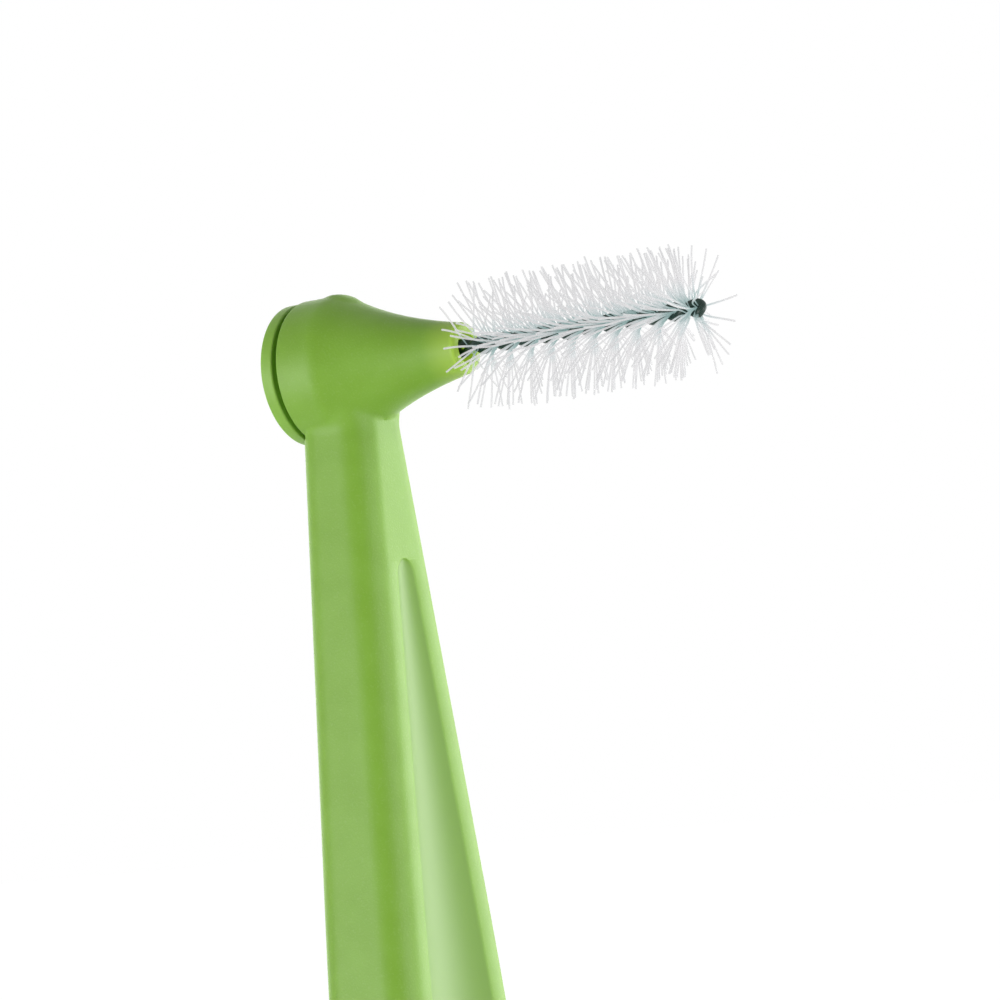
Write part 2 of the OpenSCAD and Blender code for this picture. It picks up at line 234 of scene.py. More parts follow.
def recessAt(s):
    # Half width and depth of the recess. The depth grows with the grip, and falls over a round end as
    # (1 - u^p)^(1/p), where u runs from 0 to 1 towards the end.
    h = handle
    topRound, foot, footRound = recessEnds()
    u = np.maximum((h["recessTop"] + topRound - s) / topRound, (s - foot + footRound) / footRound)
    u = np.clip(u, 0, 1)
    inside = (s >= h["recessTop"]) & (s <= foot)
    wide = recessHalf(s) * np.where(inside, np.maximum(h["tipShare"], np.sqrt(1 - u * u)), 1)
    grow = h["recessStart"] + (1 - h["recessStart"]) * ease(s / h["thickRun"], h["straightShare"])
    fall = (1 - u ** h["endPower"]) ** (1 / h["endPower"])
    return wide, np.where(inside, h["recessDeep"] * grow * fall, 0)


def handleSkin():
    # Sections down the handle. Over the hollow front x = T - depth * (1 - u^2), where T is half the
    # thickness and u the place across the recess from -1 to 1. Round edges and flats follow.
    h = handle
    topRound, foot, footRound = recessEnds()
    fine, coarse = h["fineStep"], h["coarseStep"]
    top, butt = h["recessTop"], headZ - h["buttCorner"]
    turn = line(0, np.pi / 2, h["edgePoints"])
    s = np.concatenate([
        line(h["skinTop"], h["filletFoot"], 26), line(h["filletFoot"] + fine, top - fine, 20),
        top + topRound * (1 - np.cos(turn)), line(top + topRound + fine, h["fineFoot"], 44),
        line(h["middleTop"], h["wideRun"], 44),
        line(h["wideRun"] + 2 * coarse, foot - footRound - coarse, 26),
        foot - footRound + footRound * np.sin(turn), line(foot + coarse, butt - coarse, 6),
        butt + h["buttCorner"] * np.sin(line(0, np.pi / 2, 14)),
    ])[:, None]
    t, w, r = sectionAt(s)
    wide, deep = recessAt(s)
    inward = 1 - line(0, 1, h["hollowPoints"])[None, :] ** h["hollowCrowd"]
    u = np.concatenate([inward, -inward[:, -2::-1]], 1)
    parts = [(t - deep * (1 - u * u), -wide * u)]
    corners = ((1, 1), (-1, 1), (-1, -1), (1, -1))

    def edge(k, angle):
        # Points on the rounded long edge k
        sx, sy = corners[k]
        return sx * (t - r) + r * np.cos(angle), sy * (w - r) + r * np.sin(angle)

    for k in range(4):
        angle = np.radians(90 * k) + turn
        parts.append(edge(k, angle))
        if k < 3:
            (x0, y0), (x1, y1) = edge(k, angle[-1:]), edge(k + 1, angle[-1:])
            share = line(0, 1, h["flatPoints"] + 2)[1:-1]
            parts.append((x0 + (x1 - x0) * share, y0 + (y1 - y0) * share))
    x, y = (np.concatenate(values, 1) for values in zip(*parts))
    grid = np.stack([x, y, np.broadcast_to(headZ - s, x.shape)], -1)
    rows, columns = x.shape
    count = rows * columns
    points = np.vstack([grid.reshape(-1, 3), grid[0].mean(0), grid[-1].mean(0)])
    faces = gridFaces(rows, columns)[:, ::-1].tolist()
    faces += fanFaces(0, columns, count).tolist()
    faces += fanFaces(count - columns, columns, count + 1, True).tolist()
    return points, faces


def headOutline():
    # Barrel, two tangent hollow arcs down to the nozzle, and the rounded lip. Gives the shoulder's point,
    # the outer skin and the whole closed outline.
    h = head
    lipX = mouthX - h["lipRadius"]
    joint = (lipX - h["flareFront"] * (sine(h["flareAngle"]) - sine(h["nozzleAngle"])),
             h["nozzleRadius"] + h["flareFront"] * (cosine(h["nozzleAngle"]) - cosine(h["flareAngle"])))
    climb = (h["barrelRadius"] - joint[1]) / h["flareBack"]
    shoulder = math.degrees(math.acos(cosine(h["flareAngle"]) - climb))
    back = (joint[0] + h["flareBack"] * sine(h["flareAngle"]),
            joint[1] + h["flareBack"] * cosine(h["flareAngle"]))
    front = (lipX + h["flareFront"] * sine(h["nozzleAngle"]),
             h["nozzleRadius"] + h["flareFront"] * cosine(h["nozzleAngle"]))
    rise = arc(back, h["flareBack"], -90 - shoulder, -90 - h["flareAngle"], 26)
    run = arc(front, h["flareFront"], -90 - h["flareAngle"], -90 - h["nozzleAngle"], 26)
    lip = arc((lipX, h["nozzleRadius"] - h["lipRadius"]), h["lipRadius"], 90, 0, 9)
    # The shoulder is rounded by the curve (1 - u)^2 a + 2 u (1 - u) corner + u^2 b
    before = rise[0] - (h["shoulderRound"], 0)
    past = rise[0, 0] + h["shoulderRound"]
    after = np.array([past, np.interp(past, rise[:, 0], rise[:, 1])])
    u = line(0, 1, 9)[:, None]
    bend = (1 - u) ** 2 * before + 2 * u * (1 - u) * rise[0] + u * u * after
    rear, gap = -h["barrelBack"] - h["trim"], h["ringGap"]
    rest = rise[rise[:, 0] > past + h["bendGap"]]
    barrel = line((rear + gap, h["barrelRadius"]), before - (gap, 0), 20)
    skin = np.vstack([barrel, bend, rest, run[1:], lip])
    outline = np.vstack([
        [(rear, 0)], line((rear, h["rearHub"]), (rear, h["barrelRadius"]), 4), skin,
        line((mouthX, h["nozzleRadius"] - h["lipRadius"] - gap), (mouthX, h["mouthHub"]), 4), [(mouthX, 0)],
    ])
    return rise[0], skin, outline


def boreOutline():
    # Everything that is cut from the head: mouth, nozzle bore, stem bore, collar seat, cap clearance
    h = head
    rear, edge = -h["barrelBack"], h["rearEdge"]
    far, ahead = -handle["gripThick"], mouthX + h["pastMouth"]
    stem, seat = rear + h["stemDeep"], rear + h["collarDeep"]
    bore, rim = h["boreRadius"], h["boreEdge"]
    outer = h["barrelRadius"] + h["neckGap"]
    return np.vstack([
        [(ahead, 0)], [(ahead, bore + rim + h["trim"])],
        arc((mouthX - rim, bore + rim), rim, -8, -90, 6),
        line((mouthX - h["boreStart"], bore), (stem, bore), 20),
        line((stem, h["stemBore"]), (seat, h["stemBore"]), 13), [(seat, h["collarBore"])],
        [(rear, h["collarBore"])], arc((rear + edge, h["barrelRadius"] - edge), edge, 180, 96, 6),
        [(rear + edge, outer)], [(far, outer)], [(far, 0)],
    ])


def cutOrJoin(target, tool, operation):
    # Exact boolean of two closed meshes; the tool is removed
    step = target.modifiers.new(operation, "BOOLEAN")
    step.operation, step.object, step.solver = operation, tool, "EXACT"
    depsgraph = bpy.context.evaluated_depsgraph_get()
    made = bpy.data.meshes.new_from_object(target.evaluated_get(depsgraph))
    target.modifiers.clear()
    old, target.data = target.data, made
    bpy.data.meshes.remove(old)
    bpy.data.objects.remove(tool)


def readPoints(mesh):
    # The mesh's points in millimetres
    points = np.empty(len(mesh.vertices) * 3, np.float32)
    mesh.vertices.foreach_get("co", points)
    return points.reshape(-1, 3).astype(float) / mm


def relax(mesh, weight, passes):
    # Points drift to the mean of their neighbours: p += weight * (mean - p), so a seam gets a small radius
    points = readPoints(mesh)
    pairs = np.empty(len(mesh.edges) * 2, np.int32)
    mesh.edges.foreach_get("vertices", pairs)
    a, b = pairs[0::2], pairs[1::2]
    count = np.bincount(pairs, minlength=len(points))[:, None]
    for _ in range(passes):
        total = np.zeros_like(points)
        for axis in range(3):
            total[:, axis] = (np.bincount(a, points[b, axis], len(points))
                              + np.bincount(b, points[a, axis], len(points)))
        points += weight[:, None] * (total / count - points)
    mesh.vertices.foreach_set("co", (points * mm).astype(np.float32).ravel())
    mesh.update()


def setAttribute(mesh, name, values):
    # One number for each point of the mesh, which a finish reads by its name
    attribute = mesh.attributes.new(name, "FLOAT", "POINT")
    attribute.data.foreach_set("value", np.asarray(values, np.float32))


def blendSeam(mesh, headSkin):
    # Relaxes the points near the seam of neck and barrel, where the head's outline and the neck's
    # section are both close
    h = head
    points = readPoints(mesh)
    x, y, below = points[:, 0], points[:, 1], headZ - points[:, 2]
    offHead = np.abs(np.hypot(y, below) - np.interp(x, *headSkin.T))
    t, w, r = sectionAt(below)
    qx, qy = np.abs(x) - t + r, np.abs(y) - w + r
    outside = np.hypot(np.maximum(qx, 0), np.maximum(qy, 0))
    offNeck = np.abs(outside + np.minimum(np.maximum(qx, qy), 0) - r)
    near = smooth(h["blendSteep"] * (1 - (offHead + offNeck) / h["blendReach"]))
    near = near * (below > h["blendTop"]) * (x > h["blendBack"] - h["barrelBack"])
    relax(mesh, h["blendPull"] * near, h["blendPasses"])


def maskHandle(mesh):
    # Three masks for the finish: polish is 1 in the recess, nozzle rises to 1 at the mouth, and the glow
    # mask is 1 on the wall of the bore and less on the lip round it, where a painted glow stands for light
    # that the wall lets through
    h = head
    points = readPoints(mesh)
    x, y, below = points[:, 0], points[:, 1], headZ - points[:, 2]
    wide, deep = recessAt(below)
    inRecess = (np.abs(y) < wide + handle["polishSlack"]) & (x > 0) & (deep > 0)
    sunk = (halfThick(below) - x - handle["polishFrom"]) / handle["polishRun"]
    setAttribute(mesh, "polish", smooth(sunk) * inRecess)
    fromAxis, fromMouth = np.hypot(y, below), mouthX - x
    atNozzle, atBore = fromAxis < h["nozzleReach"], fromAxis < h["boreRadius"] + h["boreSlack"]
    setAttribute(mesh, "nozzle", smooth((h["paleFrom"] - fromMouth) / h["paleRun"]) * atNozzle)
    bore = smooth((h["glowFrom"] - fromMouth) / h["glowRun"]) * atBore
    lip = h["lipGlow"] * smooth((h["lipFrom"] - fromMouth) / h["lipRun"]) * atNozzle
    setAttribute(mesh, "thin", np.maximum(bore, lip))


def buildHandle(material):
    # The neck's skin joined with the turned head, less the bores
    h = head
    shoulder, headSkin, outline = headOutline()
    points, faces = revolve(outline)
    # The gate mark: a low round swell on the crown, at the shoulder
    fromGate = np.hypot((points[:, 0] - shoulder[0]) / h["gateLong"], points[:, 1] / h["gateLong"])
    points[:, 2] += h["gateHigh"] * smooth(h["gateSteep"] * (1 - fromGate)) * (points[:, 2] > headZ)
    turned = makeObject("handleHead", points, faces)
    skin = makeObject("moulded_handle", *handleSkin())
    cutOrJoin(skin, turned, "UNION")
    cutOrJoin(skin, makeObject("handleBores", *revolve(boreOutline()[::-1])), "DIFFERENCE")
    blendSeam(skin.data, headSkin)
    maskHandle(skin.data)
    smoothShade(skin.data, handle["sharpFrom"])
    print("handle:", len(skin.data.vertices), "points,", len(skin.data.polygons), "faces")
    return fit(skin, material, "handle")


# Brush carrier: rear cap, collar, stem and nose

carrier = {
    "capThick": 0.62, "capEdge": 0.1, "collarRadius": 2.72, "collarDeep": 0.55, "collarFillet": 0.03,
    "stemRadius": 1.45, "stemLong": 3.8, "noseRadius": 0.68, "noseInset": 0.7, "noseEdge": 0.04,
    "noseStraight": 0.05, "socketDeep": 5.0, "socketRadius": 0.435, "rearHub": 0.5, "ringGap": 0.1,
}


def buildCarrier(material):
    # The profile runs from the cap's middle over the cap, collar, stem and nose into the blind socket
    c = carrier
    edge, gap, fillet, tip = c["capEdge"], c["ringGap"], c["collarFillet"], c["noseEdge"]
    front, rear = -capBack + c["capThick"], -head["barrelBack"]
    seat, stem, nose = rear + c["collarDeep"], rear + c["stemLong"], mouthX - c["noseInset"]
    collar, slim, socket = c["collarRadius"], c["noseRadius"], c["socketRadius"]
    end = nose - c["socketDeep"]
    profile = np.vstack([
        [(-capBack, 0)], line((-capBack, c["rearHub"]), (-capBack, capRadius - edge - gap), 6),
        arc((-capBack + edge, capRadius - edge), edge, 180, 90, 7),
        arc((front - edge, capRadius - edge), edge, 90, 0, 7),
        arc((front + fillet, collar + fillet), fillet, 180, 270, 4),
        [(seat, collar)], [(seat, c["stemRadius"])], [(stem, c["stemRadius"])], [(stem, slim)],
        line((stem + gap, slim), (nose - c["noseStraight"], slim), 12),
        arc((nose - tip, slim - tip), tip, 90, 0, 5),
        [(nose, socket)], line((nose - gap, socket), (end, socket), 8), [(end, 0)],
    ])
    piece = makeObject("press_in_carrier", *revolve(profile))
    print("carrier:", len(piece.data.vertices), "points")
    return fit(piece, material, "brush_carrier")


# Twisted wire

wire = {
    "coreRadius": 0.11, "coatThick": 0.075, "legOffset": 0.23, "pitch": 2.13, "loopTurn": 90.0,
    "ringsPerTurn": 28, "bendRings": 27, "sides": 16, "boreFit": 0.01, "sharpFrom": 60,
}
twistRate = -2 * np.pi / wire["pitch"]          # a left-hand twist
legOffset = wire["legOffset"]
coatRadius = wire["coreRadius"] + wire["coatThick"]
legEnd = tipX - legOffset - coatRadius
legStart = mouthX - carrier["noseInset"] - carrier["socketDeep"] + wire["boreFit"]


def legTurn(x):
    # The twist's angle falls evenly along the wire, and the loop at its end stands upright
    return math.radians(wire["loopTurn"]) + twistRate * (x - legEnd)


def radial(x):
    # Direction from the axis to the first leg of the wire
    return np.stack([0 * x, np.cos(legTurn(x)), np.sin(legTurn(x))], -1)


def across(x):
    # Direction in which the gap between the legs opens
    return np.stack([0 * x, -np.sin(legTurn(x)), np.cos(legTurn(x))], -1)


def wireRings(radius):
    # Out along one leg, round the tip and back; each ring stands square to the wire's heading
    rings = int((legEnd - legStart) / wire["pitch"] * wire["ringsPerTurn"])
    leg = line(legStart, legEnd, rings)
    turn = line(0, np.pi, wire["bendRings"] + 2)[1:-1]
    x = np.concatenate([leg, legEnd + legOffset * np.sin(turn), leg[::-1]])
    p = np.concatenate([0 * leg, turn, 0 * leg + np.pi])
    cosP, sinP = np.cos(p)[:, None], np.sin(p)[:, None]
    forward = np.array([[1.0, 0, 0]])
    centre = x[:, None] * forward + legOffset * cosP * radial(x)
    outward = sinP * forward + cosP * radial(x)
    heading = cosP * forward - sinP * radial(x) + legOffset * twistRate * cosP ** 2 * across(x)
    heading /= np.linalg.norm(heading, axis=1)[:, None]
    side = np.cross(heading, outward)
    # The rings turn back by the twist that the leg has made, so that the quads run straight
    advance = 1 / math.sqrt(1 + (legOffset * twistRate) ** 2)
    roll = -twistRate * advance * (legEnd + np.cos(p) * (x - legEnd))
    a = roll[:, None] - 2 * np.pi * np.arange(wire["sides"])[None, :] / wire["sides"]
    a = a[:, :, None]
    return (centre[:, None] + radius * (np.cos(a) * outward[:, None] + np.sin(a) * side[:, None])
            + [0, 0, headZ])


def buildCoating(material):
    # A tube of two skins on the wire's path, joined by a flat ring at either end
    outer, inner = wireRings(coatRadius), wireRings(wire["coreRadius"] + wire["boreFit"])
    rows, sides = outer.shape[:2]
    points = np.vstack([outer.reshape(-1, 3), inner.reshape(-1, 3)])
    n = rows * sides                # from a point of the outer skin to its neighbour on the inner one
    last = n - sides
    skin, bore = gridFaces(rows, sides), gridFaces(rows, sides, n)[:, ::-1]
    j = np.arange(sides)
    k = (j + 1) % sides
    start = np.stack([j, n + j, n + k, k], -1)
    end = np.stack([last + j, last + k, n + last + k, n + last + j], -1)
    faces = np.vstack([skin, bore, start, end])[:, ::-1]
    piece = makeObject("wire_coat", points, faces.tolist(), wire["sharpFrom"])
    print("coating:", len(points), "points")
    return fit(piece, material, "wire_coating")


# Bristles

bristle = {
    "filaments": 248, "thick": 0.088, "squeezed": 0.05, "squeezedTo": 0.2, "squeezeRun": 0.8,
    "diameter": 5.6, "rings": 17, "ringCrowd": 1.4, "sides": 6, "steps": 120, "longestShare": 1.55,
    "rootLean": 71.0, "rootSpread": 9.0, "rootStand": 0.1, "tipLean": 13.0, "leanSpread": 5.0,
    "leanFrom": 0.6, "sweepReach": 0.20, "turnSpread": 5.0, "curl": 0.10, "lengthSpread": 0.05,
    "clearShare": 0.17, "endInset": 0.12, "endSpread": 0.5,
    "fanCount": 9, "fanLean": 80.0, "fanTurn": 85.0, "fanShort": 0.4, "fanFrom": -0.05, "fanTo": 0.12,
    "looseRun": 0.6, "looseFrom": 0.7, "endTurn": 75.0,
    "rootGap": 0.05, "rootSparse": 0.97, "sparseRun": 2.1, "endDense": 1.6, "endRun": 0.25,
    "places": 400, "placeSpread": 0.02, "layerGap": 0.018, "seed": 17, "draws": 6, "sharpFrom": 60,
}


def strandPoints(x0, fan, edge, draw):
    # One end of every filament, as arrays (filament, ring, xyz). Along its length l a strand leans
    # back by lean(l), so its radius is the sum of cos(lean) dl and x = x0 - the sum of sin(lean) dl.
    # The lean falls from its root value, where the strand lies over a leg, to its tip value.
    # Where fan is 1, the strand stands in the loop and leans forward. The draws, from -1 to 1, make
    # each strand differ a little.
    b = bristle
    byLength, byLean, byRoot, byTurn, byCurl, byFan = np.split(draw, b["draws"], axis=1)
    share = ((x0 - mouthX) / (legEnd - mouthX))[:, None]
    clear = smooth(share / b["clearShare"])
    tipLean = clear * b["tipLean"] + b["leanSpread"] * byLean
    tipLean = tipLean + fan * (-b["fanLean"] * np.abs(byFan) - tipLean)
    stand = b["rootStand"] + (1 - b["rootStand"]) * clear
    rootLean = (b["rootLean"] + b["rootSpread"] * byRoot) * stand * (1 - fan)
    steps, longest = b["steps"], b["diameter"] / 2 * b["longestShare"]
    l = line(0, longest, steps)[None, :]
    step = longest / (steps - 1)
    wireRadius = legOffset + coatRadius
    rising = smooth((l - b["leanFrom"] * wireRadius) / ((1 - b["leanFrom"]) * wireRadius))
    fading = np.exp(-np.maximum(l - wireRadius, 0) / b["sweepReach"])
    lean = np.radians(rising * (tipLean + (rootLean - tipLean) * fading))
    root = np.zeros((len(x0), 1))
    radius = np.concatenate([root, np.cumsum(np.cos(lean[:, 1:]) * step, 1)], 1)
    shift = np.concatenate([root, np.cumsum(np.sin(lean[:, 1:]) * step, 1)], 1)
    # Each strand ends where it reaches the brush's radius, or at its own length in the tip's fan
    reach = b["diameter"] / 2 * (1 + b["lengthSpread"] * byLength)
    reach *= 1 - b["fanShort"] * fan * np.abs(byFan)
    last = np.minimum((radius < reach).sum(1, keepdims=True), steps - 1)
    last = np.minimum(last, np.where(fan > 0, reach / step, steps))
    # No strand passes the foremost place of the packed bristles
    foremost = bristleEnd - b["endInset"] - b["endSpread"] * np.abs(byLength)
    last = np.minimum(last, (x0[:, None] - shift < foremost).sum(1, keepdims=True) - 1)
    place = last * line(0, 1, b["rings"])[None, :] ** b["ringCrowd"]
    low = np.minimum(place.astype(int), steps - 2)
    part = place - low

    def at(values):
        # Values between two steps along the strand
        return (np.take_along_axis(values, low, 1) * (1 - part)
                + np.take_along_axis(values, low + 1, 1) * part)

    r, x, u = at(radius), x0[:, None] - at(shift), place / last
    bend = np.radians(b["turnSpread"]) * byTurn * u + b["curl"] * byCurl * u ** 2
    bend = bend + fan * np.radians(b["fanTurn"]) * byTurn
    # The last strands before the loop spread sideways over the legs once they are out of the gap
    loose = smooth((x0 - legEnd + b["looseRun"]) / b["looseRun"])[:, None] * (1 - fan)
    over = smooth((place * step - b["looseFrom"] * wireRadius) / wireRadius)
    bend = bend + loose * over * np.radians(b["endTurn"]) * byTurn
    sideways, upright = across(x0)[:, None], radial(x0)[:, None]
    out = edge * (sideways * np.cos(bend)[..., None] + upright * np.sin(bend)[..., None])
    axis = np.stack([x, 0 * x, headZ + 0 * x], -1)
    return axis + r[..., None] * out, place * step


def strandRoots(rng):
    # Places of the filaments along the wire. Just past the mouth they lie sparser: their number per
    # length grows as 1 - a exp(-x / run). Before the loop they crowd, and the last ones stand in it.
    b = bristle
    n = b["filaments"] - b["fanCount"]
    along = line(0, legEnd - mouthX - b["rootGap"], b["places"])
    held = along + b["rootSparse"] * b["sparseRun"] * (np.exp(-along / b["sparseRun"]) - 1)
    held = held + b["endDense"] * b["endRun"] * np.exp((along - along[-1]) / b["endRun"])
    held = held - held[0]
    x0 = mouthX + b["rootGap"] + np.interp(line(0, held[-1], n), held, along)
    return np.concatenate([x0 + rng.uniform(-b["placeSpread"], b["placeSpread"], n),
                           legEnd + rng.uniform(b["fanFrom"], b["fanTo"], b["fanCount"])])


def buildBristles(material):
    # Every filament is a six-sided rod from one free end through the gap between the legs to the other
    b = bristle
    rng = np.random.default_rng(b["seed"])
    n = b["filaments"]
    x0 = strandRoots(rng)
    fan = (np.arange(n) >= n - b["fanCount"])[:, None] * 1.0
    ends = [strandPoints(x0, fan, edge, rng.uniform(-1, 1, (n, b["draws"]))) for edge in (1, -1)]
    path = np.concatenate([ends[0][0][:, :0:-1], ends[1][0]], 1)
    reach = np.concatenate([ends[0][1][:, :0:-1], ends[1][1]], 1)
    toLeg = radial(x0)[:, None]
    layer = np.where(np.arange(n) % 2, 1, -1)[:, None, None] * b["layerGap"]
    path = path + layer * toLeg
    # Two directions square to the strand's heading carry its section
    heading = np.gradient(path, axis=1)
    heading /= np.linalg.norm(heading, axis=2, keepdims=True)
    first = toLeg - (toLeg * heading).sum(2, keepdims=True) * heading
    first /= np.linalg.norm(first, axis=2, keepdims=True)
    second = np.cross(heading, first)
    grown = smooth((reach - b["squeezedTo"]) / b["squeezeRun"])
    thick = b["squeezed"] + (b["thick"] - b["squeezed"]) * grown
    a = 2 * np.pi * np.arange(b["sides"]) / b["sides"]
    ring = np.cos(a)[:, None] * first[:, :, None] + np.sin(a)[:, None] * second[:, :, None]
    grid = path[:, :, None] + thick[:, :, None, None] / 2 * ring
    rows, sides = grid.shape[1:3]
    hubs = np.stack([path[:, 0], path[:, -1]], 1)
    points = np.concatenate([grid.reshape(n, -1, 3), hubs], 1)
    each = points.shape[1]
    caps = np.vstack([fanFaces(0, sides, each - 2, True), fanFaces((rows - 1) * sides, sides, each - 1)])
    start = (np.arange(n) * each)[:, None, None]
    faces = [(part[None] + start).reshape(-1, part.shape[1]) for part in (gridFaces(rows, sides), caps)]
    piece = makeObject("nylon_filaments", points.reshape(-1, 3), faces[0].tolist() + faces[1].tolist(),
                       b["sharpFrom"])
    distance = np.concatenate([np.repeat(reach, sides, 1), reach[:, :1], reach[:, -1:]], 1)
    setAttribute(piece.data, "reach", distance.ravel())
    print("bristles:", n, "filaments,", n * each, "points")
    return fit(piece, material, "bristles")


# Finishes

class Signal:
    # A node socket that takes part in Python's arithmetic
    def __init__(self, finish, socket):
        self.finish, self.socket = finish, socket

    def combine(self, operation, other, swapped=False):
        pair = (other, self) if swapped else (self, other)
        return self.finish.node("Math", {"operation": operation}, dict(enumerate(pair)))

    def __add__(self, other):
        return self.combine("ADD", other)

    def __sub__(self, other):
        return self.combine("SUBTRACT", other)

    def __rsub__(self, other):
        return self.combine("SUBTRACT", other, True)

    def __mul__(self, other):
        return self.combine("MULTIPLY", other)

    def __truediv__(self, other):
        return self.combine("DIVIDE", other)

    def __rtruediv__(self, other):
        return self.combine("DIVIDE", other, True)

    __radd__, __rmul__ = __add__, __mul__


class Finish:
    # A node material, or the world, whose nodes all come from one method
    def __init__(self, name, owner=None):
        self.owner = owner or bpy.data.materials.new(name)
        self.owner.use_nodes = True
        self.tree = self.owner.node_tree
        self.tree.nodes.clear()

    def node(self, kind, settings=None, sockets=None, output=0):
        # Settings first, then the values or links of the sockets; gives one output, by name or number
        made = self.tree.nodes.new("ShaderNode" + kind)
        for key, value in (settings or {}).items():
            if key == "stops":
                while len(made.color_ramp.elements) < len(value):
                    made.color_ramp.elements.new(1)
                for element, (place, colour) in zip(made.color_ramp.elements, value):
                    element.position, element.color = place, (*colour, 1)
            else:
                setattr(made, key, value)
        for key, value in (sockets or {}).items():
            if isinstance(value, Signal):
                self.tree.links.new(value.socket, made.inputs[key])
            else:
                made.inputs[key].default_value = value
        return Signal(self, made.outputs[output]) if made.outputs else None

    def mixColour(self, factor, first, second, blend="MIX"):
        # On the Mix node socket 0 is the factor, 6 and 7 are its colours, and output 2 is the result
        sockets = {0: factor, 6: self.colour(first), 7: self.colour(second)}
        return self.node("Mix", {"data_type": "RGBA", "blend_type": blend}, sockets, 2)

    def colour(self, value):
        # A link as it is, or three numbers with a full alpha
        return value if isinstance(value, Signal) else (*value, 1)

    def noise(self, size, detail=2.0):
        # Noise with features of a given size in millimetres, on the piece's own coordinates
        return self.node("TexNoise", {"noise_dimensions": "3D"}, {
            "Vector": self.node("TexCoord", output="Object"), "Scale": 1 / (size * mm), "Detail": detail})

    def attribute(self, name):
        return self.node("Attribute", {"attribute_name": name}, output="Fac")

    def limit(self, value, low, high):
        # 0 at low, 1 at high and smooth between
        return self.node("MapRange", {"interpolation_type": "SMOOTHSTEP"},
                         {"Value": value, "From Min": low, "From Max": high})

    def bump(self, height, strength, distance):
        # A normal from a height from 0 to 1 that stands for a distance in millimetres
        return self.node("Bump", {}, {"Strength": strength, "Distance": distance * mm, "Height": height})

    def surface(self, **sockets):
        # The material, from the values and links of its main shader's sockets
        named = {name.replace("_", " "): value for name, value in sockets.items()}
        return self.close(self.node("BsdfPrincipled", {}, named))

    def close(self, shader, target="OutputMaterial"):
        self.node(target, {}, {"Surface": shader})
        return self.owner


black, white = (0.0, 0.0, 0.0), (1.0, 1.0, 1.0)
green = {
    "deep": (0.180, 0.370, 0.018), "pale": (0.196, 0.396, 0.028), "speck": (0.27, 0.46, 0.10),
    # painted light on the next line: the recess colour is painted shade, and the through-light colour is a
    # painted glow
    "nozzle": (0.32, 0.52, 0.055), "recess": (0.130, 0.288, 0.004), "paintedGlowColour": (0.16, 0.24, 0.015),
    "mottleSize": 1.6, "mottleRange": (0.3, 0.7), "grainSize": 0.085, "grainStrength": 0.5,
    "grainHeight": 0.02, "speckRange": (0.56, 0.72), "speckShare": 0.25, "recessPlain": 0.9,
    "rough": 0.52, "roughPolished": 0.45, "gloss": 0.55, "ior": 1.49,
    "milky": 0.25, "milkyRadius": (0.9, 1.0, 0.35), "milkyScale": 0.25,
}
lightGreen = {**green, "deep": (0.21, 0.42, 0.035), "pale": (0.225, 0.44, 0.045)}


def mouldedFinish(name, look, masks):
    # Moulded polypropylene. Colour = green, mottled a little by soft noise, with pale specks, a paler
    # nozzle and a darker recess colour, which is painted shade. Height = eroded grain * matt * (1 -
    # nozzle), where matt is 1 less most of polish. Roughness rises with matt. The bore's wall and its lip
    # get a painted glow.
    f = Finish(name)
    matt = 1 - f.attribute("polish") * look["recessPlain"] if masks else 1.0
    plain = matt * (1 - f.attribute("nozzle")) if masks else 1.0
    mottle = f.limit(f.noise(look["mottleSize"]), *look["mottleRange"])
    colour = f.mixColour(mottle, look["deep"], look["pale"])
    specks = f.limit(f.noise(look["grainSize"], detail=1.0), *look["speckRange"])
    specks = specks * look["speckShare"] * plain
    colour = f.mixColour(specks, colour, look["speck"])
    glow = black
    if masks:
        colour = f.mixColour(f.attribute("nozzle"), colour, look["nozzle"])
        # painted shade: the polished recess gets a darker green colour
        colour = f.mixColour(f.attribute("polish"), colour, look["recess"])
        # painted glow: the bore's wall and lip emit a green, which stands for light let through the wall
        glow = f.mixColour(f.attribute("thin"), black, look["paintedGlowColour"])
    grain = f.noise(look["grainSize"], detail=3.0) * plain
    return f.surface(
        Base_Color=f.colour(colour), Normal=f.bump(grain, look["grainStrength"], look["grainHeight"]),
        Roughness=look["roughPolished"] + matt * (look["rough"] - look["roughPolished"]),
        IOR=look["ior"], Specular_IOR_Level=look["gloss"],
        Emission_Color=f.colour(glow), Emission_Strength=1.0,
        Subsurface_Weight=look["milky"], Subsurface_Radius=look["milkyRadius"],
        Subsurface_Scale=look["milkyScale"] * mm)


coat = {
    "deep": (0.010, 0.030, 0.022), "pale": (0.018, 0.046, 0.035), "rough": 0.35, "gloss": 0.3, "ior": 1.5,
    "driftSize": 0.8, "driftRange": (0.35, 0.65), "waveSize": 0.25, "waveHeight": 0.01,
    "waveStrength": 0.4,
}


def coatFinish(look):
    # Smooth dark green coating. Colour drifts a little along the wire, and a soft wave lifts the skin
    f = Finish("coating dark green")
    drift = f.limit(f.noise(look["driftSize"]), *look["driftRange"])
    wave = f.noise(look["waveSize"], detail=1.0)
    return f.surface(
        Base_Color=f.mixColour(drift, look["deep"], look["pale"]), Roughness=look["rough"],
        Specular_IOR_Level=look["gloss"], IOR=look["ior"],
        Normal=f.bump(wave, look["waveStrength"], look["waveHeight"]))


nylon = {
    # the first stops are a painted tint: the wire's dark green seen through the strands near the core
    "stops": [(0.0, (0.32, 0.50, 0.48)), (0.15, (0.50, 0.67, 0.66)), (0.27, (0.84, 0.91, 0.92)),
              (0.45, (1.0, 0.99, 1.0)), (0.85, (0.92, 0.92, 0.93))],
    "longest": 3.4, "shade": (0.95, 0.95, 0.96), "patchSize": 0.5, "patchRange": (0.3, 0.7),
    "patchShare": 0.5, "rough": 0.45, "gloss": 0.25, "ior": 1.5, "body": 0.28, "glow": 0.52,
    "solid": 0.58,
}


